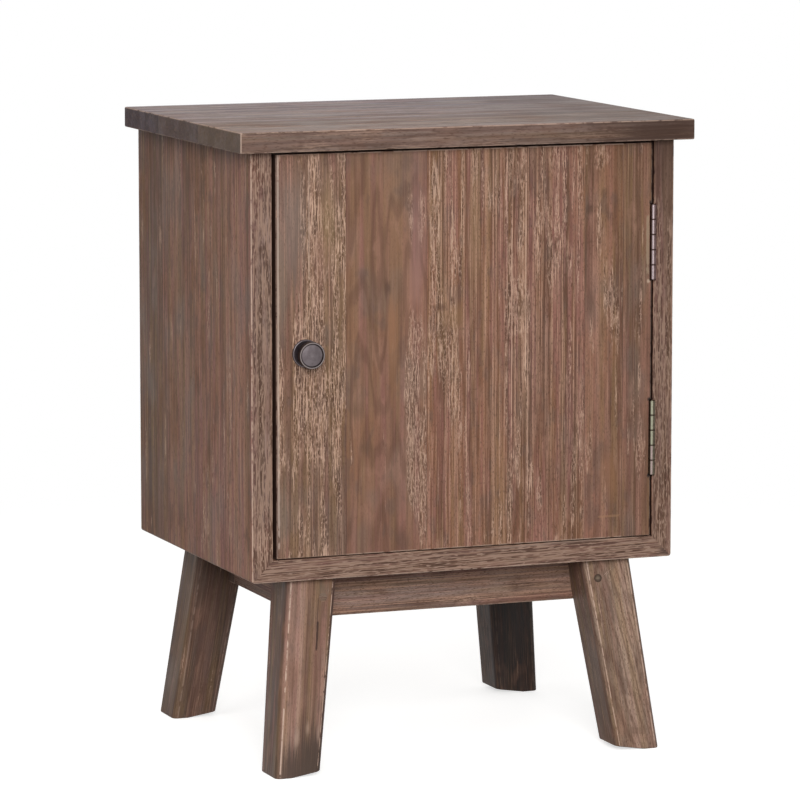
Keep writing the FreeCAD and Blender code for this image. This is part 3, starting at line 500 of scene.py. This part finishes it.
DOOR_STAVES = {
    "door_plank_1": dict(dark="#604738", light="#7F604F", flecks=0.78, lines=0.5, pith=(-70, 30),
                         pitch=4.4, pink=0.35, olive=0.45, grey=0.35, brown=0.2, wear=0.25,
                         coarse=1.2, brush=1.15, marks=(
                             ((-151, door_front, 448), (15, deep, 62), True, "#786A62", 0.5),
                             ((-120, door_front, 455), (11, deep, 46), True, "#8A7350", 0.4),
                             ((-137, door_front, 455), (0.5, deep, 50), False, "#B59A88", 0.6),
                             ((-94.8, door_front, 300.4), (8.5, deep, 0.9), False, "#55402F", 0.4),
                             ((-161, door_front, 405), (6, deep, 62), True, "#75685A", 0.55),
                             ((-160, door_front, 216), (8, deep, 34), True, "#6B6055", 0.45),
                             ((-128, door_front, 425), (8, deep, 34), True, "#96705F", 0.4),
                             # Painted shade in the gap, on the door's left edge
                             ((door_left, door_front + 4.2, gap_middle), (1.1, 5.2, gap_half), False,
                              "#3A2016", 0.95),
                             ((door_left + 1.9, door_front, gap_middle), (0.9, 0.8, 167), False,
                              "#C9B4A6", 0.45)),
                         washes=(((-157, door_front, 430), (11, deep, 80), -0.5),
                                 ((-133, door_front, 306), (16, deep, 40), 0.3),
                                 ((-133, door_front, 236), (20, deep, 30), -0.1),
                                 ((-159, door_front, 215), (7, deep, 40), -0.3))),
    "door_plank_2": dict(dark="#6F4E3E", light="#85614E", flecks=0.0, lines=0.1, fibre=0.4, pith=(6, 75),
                         pitch=7.0, tilt=(3.0, 0.6), late=0.45, pink=0.4, olive=0.3, grey=0.35,
                         brown=0.35, washes=(((-43, door_front, 300), (13, deep, 110), 0.42),
                                             ((-44, door_front, 465), (11, deep, 40), 0.25)), marks=(
                             ((-64, door_front, 350), (6, deep, 62), True, "#90684A", 0.5),
                             ((-46, door_front, 400), (9, deep, 30), True, "#98705F", 0.45),
                             ((-96, door_front, 298), (8, deep, 10), True, "#5B4638", 0.4),
                             ((-43, door_front, 440), (9, deep, 75), True, "#93706A", 0.4),
                             ((-66, door_front, 372), (5, deep, 26), True, "#90664C", 0.35),
                             ((-69, door_front, 399), (4, deep, 8), True, "#4F372B", 0.6),
                             ((-88, door_front, 268), (9, deep, 7), True, "#5B4535", 0.4))),
    "door_plank_3": dict(dark="#684735", light="#835A44", flecks=0.47, lines=0.8, figure=0.75,
                         late=0.2, pith=(60, 35), pitch=4.6, pink=0.5, olive=0.45, grey=0.15,
                         brown=0.3, marks=(
                             ((-22, door_front, 381), (8, deep, 4), True, "#54392B", 0.6),
                             ((-8, door_front, 372), (10, deep, 14), True, "#8A6A4A", 0.4),
                             ((6, door_front, 440), (6, deep, 60), True, "#8A6A4E", 0.4)),
                         washes=(((-27, door_front, 440), (4, deep, 70), 0.25),
                                 ((-12, door_front, 330), (9, deep, 50), 0.25),
                                 ((16, door_front, 300), (9, deep, 120), -0.25))),
    "door_plank_4": dict(dark="#5F4031", light="#7E5643", flecks=0.5, lines=0.85, figure=0.75,
                         late=0.2, pith=(-75, 20), pitch=4.0, pink=0.5, olive=0.3, grey=0.2,
                         brown=0.3, marks=(
                             ((41, door_front, 360), (0.6, deep, 92), False, "#C5A08B", 0.6),
                             ((53.5, door_front, 400), (0.55, deep, 84), False, "#CFAB96", 0.65),
                             ((55.5, door_front, 300), (0.5, deep, 78), False, "#C5A08B", 0.5),
                             ((53, door_front, 377), (10, deep, 12), True, "#5D4534", 0.35)),
                         washes=(((46, door_front, 377), (14, deep, 24), 0.4),
                                 ((72, door_front, 300), (16, deep, 70), -0.3),
                                 ((92, door_front, 420), (12, deep, 60), 0.1))),
    "door_plank_5": dict(dark="#684836", light="#88624E", flecks=0.1, lines=0.4, figure=0.7,
                         fibre=0.8, pith=(10, 60), pitch=5.5, tilt=(2.4, -1.6), pink=0.3, olive=0.4,
                         grey=0.45, brown=0.45, marks=(
                             ((111, door_front, 457), (5, deep, 6), True, "#473124", 0.6),
                             ((124, door_front, 470), (4, deep, 5), True, "#4A3427", 0.45),
                             ((112, door_front, 379), (4, deep, 16), True, "#4E3A30", 0.5),
                             ((129, door_front, 233.8), (12, deep, 34), True, "#94684B", 0.4),
                             ((129, door_front, 198.4), (11, deep, 0.9), False, "#A8805F", 0.3)),
                         washes=(((116, door_front, 440), (10, deep, 34), 0.12),
                                 ((118, door_front, 500), (20, deep, 12), 0.2),
                                 ((130, door_front, 385), (9, deep, 40), 0.14))),
    "door_plank_6": dict(dark="#624635", light="#86624F", flecks=0.2, lines=0.4, fibre=0.8, pith=(50, 30),
                         pitch=3.6, pink=0.3, olive=0.45, grey=0.45, brown=0.3, wear=0.2, marks=(
                             ((door_right - 4, door_front, (upper_hinge_low + upper_hinge_high) / 2),
                              (1.3, deep, 24), False, "#A3927A", 0.5),
                             # Painted shade in the gap, on the door's right edge
                             ((door_right, door_front, gap_middle), (1.2, 12, gap_half), False,
                              "#2E1A12", 0.95),
                             # Painted shade in the recess above the upper hinge
                             ((door_right - 1, door_front, upper_hinge_high + 1.5), (2.4, deep, 2.2),
                              True, "#1E1412", 0.9),
                             ((door_right - 3, door_front, upper_hinge_low - 1.0), (2.0, deep, 2.2),
                              True, "#C3AC96", 0.7),
                             # Painted shade in the recesses at the lower hinge's ends
                             ((door_right - 1.5, door_front, lower_hinge_high + 0.5), (2.6, deep, 2.6),
                              True, "#1A1110", 1.0),
                             ((door_right - 1.5, door_front, lower_hinge_low - 0.5), (2.6, deep, 3.0),
                              True, "#1A1110", 1.0)),
                         washes=(((158, door_front, 275), (7, deep, 60), 0.15),)),
}
TOP_GRAIN = dict(rough=0.72, gloss=0.2, flecks=0.2, lines=0.4, wear=0.55, dip=0.5, fibre=0.75,
                 figure=1.1, coarse=1.8, faces=((FRONT, square_on, "#AC968B", 0.88, 0.1),))
TOP_MARKS = (((205, 0, 530), (200, 600, 60), True, "#54463F", 0.5),)
TOP_PLANKS = {
    "top_plank_front": dict(dark="#65544C", light="#97867E", pith=(-12, -70), pitch=5.5, pink=0.3,
                            olive=0.5, grey=0.4, brown=0.3, ends="#5A4D43", marks=(
                                ((168, top_front, 521), (72, 7, 14), True, "#3E2D26", 0.85),
                                ((top_left, top_front, 521), (1.0, 1.0, 9), False, "#CDB9AC", 0.8))),
    "top_plank_middle": dict(dark="#655759", light="#978A8B", pith=(20, -60), pitch=6.5, pink=0.3,
                             olive=0.4, grey=0.45, brown=0.1, ends="#4E4340"),
    "top_plank_back": dict(dark="#635860", light="#938A94", pith=(50, -40), pitch=5.0, pink=0.3,
                           olive=0.3, grey=0.5, brown=0.0, ends="#352D31"),
}
# The sides get painted shade under the overhang, and the right one also at its top front corner and in
# the gap beside the door
SIDE_GRAIN = dict(gloss=0.2, coarse=1.6, brush=1.8, dip=0.8, washes=(
                      ((case_right, case_front, 500), (30, 20, 50), -0.5),), marks=(
                      # Painted shade under the overhang
                      ((0, 0, top_low), (250, 400, 26), True, "#42332F", 0.8),
                      # Painted shade at the right side's top front corner
                      ((case_right, case_front, 512), (34, 20, 76), True, "#4A382F", 0.6),
                      # Painted shade in the gap beside the door, on the right side's inner face
                      ((case_right - side_thickness, case_front + 3.4, gap_middle),
                       (0.8, 2.9, gap_half), False, "#2A1812", 0.95)))
SIDE_FRONT_EDGES = {"left": "#D2B4A8", "right": "#B39184"}
# Their browns run from light at the front to dark at the back: partly the planks' own tones, partly painted
# light falling off towards the back
SIDE_PLANKS = {
    "front": dict(dark="#764F3C", light="#AB7B66", flecks=0.2, lines=0.5, fibre=0.9, figure=1.5,
                  pith=(60, 40), pitch=4.4, pink=0.7, olive=0.5, grey=0.35, brown=0.5),
    "middle": dict(dark="#684938", light="#9D735F", flecks=0.05, lines=0.4, fibre=0.9, figure=1.5,
                   pith=(-70, 14), pitch=5.2, pink=0.7, olive=0.6, grey=0.45, brown=0.5),
    "back": dict(dark="#48342A", light="#6C4E40", flecks=0.0, lines=0.3, fibre=0.9, figure=1.6,
                 pith=(70, -20), pitch=4.8, pink=0.4, olive=0.7, grey=0.6, brown=0.4),
}
BOTTOM_PLANKS = ("bottom_plank_front", "bottom_plank_back")
BOTTOM_GRAIN = dict(dark="#785749", light="#966F60", flecks=0.9, lines=1.4, fibre=0.85,
                    pith=(40, -50), pitch=4.2, wear=1.0, brush=2.2, dip=1.1, coarse=1.7, long=1.6,
                    lean=(0, 1.2, 0), figure=0.8, pink=0.55, olive=0.3,
                    faces=((FRONT, square_on, "#A37C6E", 0.7, 0.2),),
                    washes=(((100, case_front, 170), (80, deep, 14), 0.3),), marks=(
                        ((90, case_front, 178.5), (80, deep, 0.8), False, "#C0A493", 0.5),
                        ((183, case_front, 166), (8, deep, 7), True, "#54423A", 0.7)))
APRONS = (("front", "X"), ("back", "X"), ("left", "Y"), ("right", "Y"))
APRON_GRAIN = dict(dark="#735D53", light="#927B71", flecks=0.3, lines=1.0, grey=0.5, pink=0.4,
                   pith=(50, 20), pitch=4.6, wear=0.5,
                   marks=(((86, -131, 141), (42, 20, 30), True, "#97837A", 0.6),))
# The legs' left faces and some arrises carry painted shade, and the back legs more of it under the box.
# Their grain leans as they do, in degrees.
LEG_GRAIN = dict(lines=0.3, fibre=0.6, flecks=0.0, wear=0.95)
leg_lean_back, leg_lean_aside = 7.8, 6.0
LEGS = {
    "leg_front_left": dict(dark="#6F5343", light="#9F7F70", pith=(35, 45), pink=0.35,
                           olive=0.4, grey=0.3, faces=(
                               # Painted shade on the left face and on the arris that turns right from the
                               # front
                               (LEFT, square_on, "#3C2D28", 0.9, 0.0),
                               ((0.8, -0.6, 0), (0.77, 0.87), "#3F2B26", 0.85, 0.0),), marks=(
                               ((-141, -147, 6), (28, 40, 50), True, "#43352D", 0.95),
                               ((-160, -147, 2), (18, 40, 28), True, "#4A3A32", 0.85),
                               ((-152, -146, 33), (3.5, 12, 11), True, "#A88D7D", 0.6),
                               ((-142, -146, 40), (2.5, 12, 8), True, "#A88D7D", 0.5),
                               ((-133, -146, 36), (2.0, 12, 10), True, "#A88D7D", 0.45),
                               ((-115.4, -140, 120), (3.0, 30, 50), False, "#46302A", 0.75),
                               ((-126.8, -140, 40), (3.0, 30, 46), False, "#46302A", 0.75),
                               ((-128.5, -136, 133), (0.6, 12, 11), False, "#4A3529", 0.6),
                               ((-130, -136, 114), (0.9, 12, 13), False, "#2E1D15", 0.85),
                               ((-121, -134, 152), (10, 12, 10), True, "#6A6051", 0.6))),
    "leg_front_right": dict(dark="#7F6859", light="#AA917E", pith=(-20, 30), pitch=3.4,
                            tilt=(5, 3), late=0.5, pink=0.25, olive=0.5, grey=0.3, fibre=1.1,
                            figure=0.7, faces=(
                                # Painted shade on the left face and on the arris that turns right from the
                                # front
                                (LEFT, square_on, "#3A2A22", 0.8, 0.0),
                                ((0.8, -0.6, 0), (0.82, 0.96), "#3A3034", 0.7, 0.0)), marks=(
                                ((128, -136, 148), (9, 12, 9), True, "#6E6453", 0.35),
                                ((157, -146, 44), (2, 12, 4), True, "#4E3A2D", 0.6),
                                ((152, -147, 16), (17, 14, 5), True, "#6A5142", 0.5))),
    # Darker browns, partly painted shade under the box, and painted shade on the left face
    "leg_back_left": dict(dark="#4B3B33", light="#665146", pink=0.15, olive=0.35, grey=0.3, brown=0.1,
                          wear=0.3, pith=(-30, 45), faces=((LEFT, square_on, "#392C27", 0.65, 0.0),), marks=(
                              ((-131.5, 130, 80), (4, 60, 48), True, "#35271E", 0.6),
                              ((-123.5, 130, 90), (4, 60, 60), True, "#6E5850", 0.5))),
    # Painted shade under the box: browns as dark as the back left leg's, near-black front and left faces and
    # a near-black patch
    "leg_back_right": dict(dark="#4E3D34", light="#6A5548", pink=0.1, olive=0.1, grey=0.1, brown=0.1,
                           wear=0.1, pith=(40, 30), faces=(
                               (FRONT, square_on, "#130A0A", 0.95, 0.0),
                               (LEFT, square_on, "#110909", 0.95, 0.0)), marks=(
                               ((140, 90, 80), (90, 46, 160), True, "#0E0808", 0.8),)),
}
# The front right plug shows a dark rim round a paler middle
PLUG_GRAIN = dict(dark="#655445", light="#7E6B59", flecks=0.0, wear=0.0, marks=(
                      ((123, -136, 145), (9, 20, 9), False, "#33241C", 0.9),
                      ((123, -136, 145), (2.8, 20, 2.8), True, "#7A6B5A", 0.9)))
# Wood that is neither brushed nor washed: a stained back, pale beech pins, raw teak blocks
HIDDEN_GRAIN = dict(flecks=0.1, wear=0.3, pith=(40, 40), pitch=4.5, pink=0.1, olive=0.1, grey=0.1)
HIDDEN_WOOD = (
    ("back_panel", "Z", "#64493C", "#7D5E50"),
    ("top_dowels", "Z", "#A98661", "#C6A37C"),
    ("mitre_splines", "Y", "#A98661", "#C6A37C"),
    ("apron_dowels", "X", "#A98661", "#C6A37C"),
    ("corner_block_front_left", "Z", "#8A684D", "#AA8768"),
    ("corner_block_front_right", "Z", "#8A684D", "#AA8768"),
    ("corner_block_back_left", "Z", "#8A684D", "#AA8768"),
    ("corner_block_back_right", "Z", "#8A684D", "#AA8768"),
)
# A seed moves a plank's grain to a place of its own: the first one's, and the step to the next
SEEDS = {"door": (3.1, 1.7), "top": (17.3, 2.1), "left": (31.7, 1.9), "right": (41.1, 1.9),
         "bottom": (51.3, 2.7), "aprons": (61.9, 3.3), "legs": (83.1, 4.3), "plugs": (97.1, 0),
         "hidden": (118.2, 2.9)}


def seed_of(group, i=0):
    """The seed of a group's i-th piece."""
    first, step = SEEDS[group]
    return first + i * step


# Legs: the CAD meshes again, merged, so that their rounded arrises are shaded as one curve
rounded_legs = {}
merge_distance = 0.01
smooth_below = 30
flat_face_turn = 0.06


def round_legs():
    """Merges a copy of each leg, and keeps its flat faces flat."""
    for name in LEGS:
        mesh = nodes[name].data.copy()
        leg = bpy.data.objects.new(name + "_rounded", mesh)
        bpy.context.collection.objects.link(leg)
        bpy.ops.object.select_all(action="DESELECT")
        leg.select_set(True)
        bpy.context.view_layer.objects.active = leg
        bpy.ops.object.mode_set(mode="EDIT")
        bpy.ops.mesh.select_all(action="SELECT")
        bpy.ops.mesh.remove_doubles(threshold=merge_distance * MM)
        bpy.ops.object.mode_set(mode="OBJECT")
        bpy.ops.object.shade_smooth_by_angle(angle=math.radians(smooth_below))
        for face in mesh.polygons:
            face.use_smooth = min(abs(face.normal.x), abs(face.normal.y)) > flat_face_turn
        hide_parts(name)
        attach(leg, "carcass")
        rounded_legs[name] = leg


def dress_door():
    for i, (name, plank) in enumerate(DOOR_STAVES.items()):
        finish(nodes[name], teak(name + "_teak", "Z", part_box(name), seed_of("door", i), joint="X",
                                 wear_box=door_box, **plank))


def dress_box():
    """The top, the two sides and the bottom."""
    for i, (name, plank) in enumerate(TOP_PLANKS.items()):
        plank = dict(TOP_GRAIN, **dict(plank, marks=TOP_MARKS + plank.get("marks", ())))
        finish(nodes[name], teak(name + "_teak", "X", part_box(name), seed_of("top", i), joint="Y",
                                 wear_box=top_box, **plank))
    for side, edge_colour in SIDE_FRONT_EDGES.items():
        for i, (part, plank) in enumerate(SIDE_PLANKS.items()):
            name = "side_%s_plank_%s" % (side, part)
            finish(nodes[name], teak(name + "_teak", "Z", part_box(name), seed_of(side, i), joint="Y",
                                     wear_box=case_box,
                                     faces=((FRONT, square_on, edge_colour, 0.85, 0.4),),
                                     **dict(SIDE_GRAIN, **plank)))
    for i, name in enumerate(BOTTOM_PLANKS):
        finish(nodes[name], teak(name + "_teak", "X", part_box(name), seed_of("bottom", i), joint="Y",
                                 wear_box=case_box, **BOTTOM_GRAIN))


def dress_base():
    """The aprons, the legs and their plugs."""
    for i, (end, along) in enumerate(APRONS):
        name = "apron_" + end
        finish(nodes[name], teak(name + "_teak", along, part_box(name), seed_of("aprons", i),
                                 wear_box=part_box(name), **APRON_GRAIN))
    for i, (name, plank) in enumerate(LEGS.items()):
        backward = 1 if "back" in name else -1
        rightward = 1 if "right" in name else -1
        finish(rounded_legs[name], teak(name + "_teak", "Z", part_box(name), seed_of("legs", i),
                                        lean=(-backward * leg_lean_back, rightward * leg_lean_aside, 0),
                                        **dict(LEG_GRAIN, **plank)))
    finish(nodes["leg_plugs"], teak("leg_plugs_teak", "X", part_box("leg_plugs"), seed_of("plugs"),
                                    **PLUG_GRAIN))


def dress_hidden_wood():
    for i, (name, along, dark, light) in enumerate(HIDDEN_WOOD):
        finish(nodes[name], teak(name + "_wood", along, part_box(name), seed_of("hidden", i),
                                 dark=dark, light=light, **HIDDEN_GRAIN))


# Metal and plastic
hinge_knuckles = 5
# The knuckles get a painted glint where they look this way, and painted shade where they turn back from the
# front: each as the cosines at which that starts and is full
barrel_glint = (-0.5, -0.866, 0)
GLINT = (0.9, 0.985)
SHADE = (-0.75, -0.35)
# The joints between the knuckles: how far from their middle they end and how far they are full, in mm
joint_end, joint_full = 0.9, 0.35
# The lowest knuckles, up to this many, have a glint colour of their own
low_knuckles = 1.95
# Depth of the fine scratches, in mm
scratch_depth = 0.04


def fitting(name, dull, bright, rough, blot_mm, fine_mm, worn=0.2, turned=None, barrel=None,
            metallic=1.0):
    """Metal or moulded plastic that has been handled: duller blots, fine scratches in the sheen, grime in
    the groove of a turned knob and painted shade round its rim's outer edge, and grime between the knuckles
    of a hinge, whose front gets a painted glint and whose sides get painted shade. Turned is (the axis's
    place, its rings), barrel is (span, glints, grime and painted shade)."""
    made, tree, out = material(name)
    place = add(tree, "ShaderNodeTexCoord")
    blots = add(tree, "ShaderNodeTexNoise", {"Vector": place.outputs["Object"],
                                             "Scale": 1 / (blot_mm * MM), "Detail": 3})
    fine = add(tree, "ShaderNodeTexNoise", {"Vector": place.outputs["Object"],
                                            "Scale": 1 / (fine_mm * MM), "Detail": 3})
    patch = add(tree, "ShaderNodeMapRange", {"Value": blots.outputs[0], "From Min": 0.34,
                                             "From Max": 0.66}, interpolation_type="SMOOTHSTEP")
    steps = [(patch.outputs[0], bright)]
    if turned:
        centre, rings = turned
        away = add(tree, "ShaderNodeVectorMath", {0: place.outputs["Object"], 1: centre},
                   operation="SUBTRACT")
        away = add(tree, "ShaderNodeVectorMath", {0: away.outputs[0], 1: (1, 0, 1)},
                   operation="MULTIPLY")
        radius = add(tree, "ShaderNodeVectorMath", {0: away.outputs[0]}, operation="LENGTH")
        for middle, half, soft, colour, most in rings:
            off = add(tree, "ShaderNodeMath", {0: radius.outputs["Value"], 1: middle * MM},
                      operation="SUBTRACT")
            off = add(tree, "ShaderNodeMath", {0: off.outputs[0]}, operation="ABSOLUTE")
            ring = add(tree, "ShaderNodeMapRange", {
                "Value": off.outputs[0], "From Min": (half + soft) * MM, "From Max": half * MM,
                "To Max": most}, interpolation_type="SMOOTHSTEP")
            steps.append((ring.outputs[0], colour))
    if barrel:
        (low, high), glint, glint_low, grime_and_shade = barrel
        # A painted glint on the knuckles' front and painted shade on their sides; the joints between the
        # knuckles are grime
        facing = add(tree, "ShaderNodeSeparateXYZ", {0: place.outputs["Normal"]})
        toward = add(tree, "ShaderNodeVectorMath", {0: place.outputs["Normal"], 1: barrel_glint},
                     operation="DOT_PRODUCT")
        rubbed_and_glint = add(tree, "ShaderNodeMapRange", {"Value": toward.outputs["Value"],
                                                  "From Min": GLINT[0], "From Max": GLINT[1]},
                     interpolation_type="SMOOTHSTEP")
        shaded = add(tree, "ShaderNodeMapRange", {"Value": facing.outputs["Y"], "From Min": SHADE[0],
                                                  "From Max": SHADE[1], "To Max": 0.5},
                     interpolation_type="SMOOTHSTEP")
        height = add(tree, "ShaderNodeSeparateXYZ", {0: place.outputs["Object"]})
        step = (high - low) / hinge_knuckles
        along = add(tree, "ShaderNodeMath", {0: height.outputs["Z"], 1: low}, operation="SUBTRACT")
        along = add(tree, "ShaderNodeMath", {0: along.outputs[0], 1: step / 2}, operation="PINGPONG")
        joint = add(tree, "ShaderNodeMapRange", {"Value": along.outputs[0],
                                                 "From Min": joint_end * MM,
                                                 "From Max": joint_full * MM, "To Max": 0.9},
                    interpolation_type="SMOOTHSTEP")
        below = add(tree, "ShaderNodeMath", {0: height.outputs["Z"], 1: low + low_knuckles * step},
                    operation="LESS_THAN")
        lower = add(tree, "ShaderNodeMath", {0: rubbed_and_glint.outputs[0], 1: below.outputs[0]},
                    operation="MULTIPLY")
        steps += [(rubbed_and_glint.outputs[0], glint), (lower.outputs[0], glint_low),
                  (shaded.outputs[0], grime_and_shade), (joint.outputs[0], grime_and_shade)]
    colour = tone(dull)
    for factor, shade in steps:
        mixed = add(tree, "ShaderNodeMix", {0: factor, 6: colour, 7: tone(shade)}, data_type="RGBA")
        colour = mixed.outputs[2]
    grain = add(tree, "ShaderNodeMapRange", {"Value": fine.outputs[0], "From Min": 0.3,
                                             "From Max": 0.7, "To Min": rough - 0.06,
                                             "To Max": rough + 0.08})
    bump = add(tree, "ShaderNodeBump", {"Height": fine.outputs[0], "Strength": worn,
                                        "Distance": scratch_depth * MM})
    shiny = add(tree, "ShaderNodeBsdfPrincipled", {"Base Color": colour, "Metallic": metallic,
                                                   "Roughness": grain.outputs[0],
                                                   "Normal": bump.outputs[0]})
    tree.links.new(shiny.outputs[0], out.inputs["Surface"])
    return made


knob_middle = (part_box("knob")[0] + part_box("knob")[1]) / 2
# Rings on the turned knob and its rose, as (radius, half width and softness in mm, colour, how strong): on
# the knob a rubbed pale ring, painted shade round the rim's outer edge and grime in the groove
KNOB_RINGS = ((10.25, 0.2, 0.4, "#857B78", 0.9), (11.0, 0.2, 0.4, "#241D1C", 0.85),
              (9.2, 0.25, 0.45, "#241F1F", 0.85))
ROSE_RINGS = ((11.3, 0.3, 0.4, "#6E6668", 0.8),)
# Nickel plate gone dull, as (dull, bright, painted glint, the lower knuckles' painted glint, grime that is
# also painted shade)
HINGE_NICKEL = {
    "upper": ("#5A4643", "#6C5957", "#8E8182", "#8E8182", "#3A2A24"),
    "lower": ("#524A3F", "#655E50", "#8A8977", "#8D7D79", "#382C24"),
}
ZINC_PLATED = ("catch_poles", "strike_plate", "knob_washer")


def dress_fittings():
    """Dull nickel on the hinges, pale zinc on screws and plates, dark pewter on the knob, and matt
    brown nylon and charcoal ferrite in the catch."""
    for hinge, (dull, bright, glint, glint_low, grime_and_shade) in HINGE_NICKEL.items():
        pieces = [name for name in nodes if name.startswith("hinge_" + hinge)]
        low, high = group_box(pieces)
        nickel = fitting("nickelled_steel_" + hinge, dull, bright, 0.34, 3.5, 0.7,
                         barrel=((low.z, high.z), glint, glint_low, grime_and_shade))
        for name in pieces:
            finish(nodes[name], nickel)
    zinc = fitting("zinc_plated_steel", "#8E8A7E", "#B4B0A6", 0.38, 2.0, 0.5)
    for name in nodes:
        if "screw" in name or name in ZINC_PLATED:
            finish(nodes[name], zinc)
    finish(nodes["knob"], fitting("antique_pewter", "#5C5456", "#686062", 0.42, 5.0, 0.6,
                                  turned=(knob_middle, KNOB_RINGS)))
    finish(nodes["knob_rose"], fitting("antique_pewter_dark", "#332D2F", "#453E40", 0.45, 4.0, 0.6,
                                       turned=(knob_middle, ROSE_RINGS)))
    finish(nodes["catch_housing"], fitting("moulded_brown_nylon", "#3B2A22", "#4A362C", 0.5, 5, 0.8,
                                           metallic=0.0))
    finish(nodes["catch_magnet"], fitting("sintered_ferrite", "#2A2827", "#3A3736", 0.6, 2, 0.5,
                                          metallic=0.0))


make_camera()
make_stage()
make_lamps()
round_legs()
dress_door()
dress_box()
dress_base()
dress_hidden_wood()
dress_fittings()
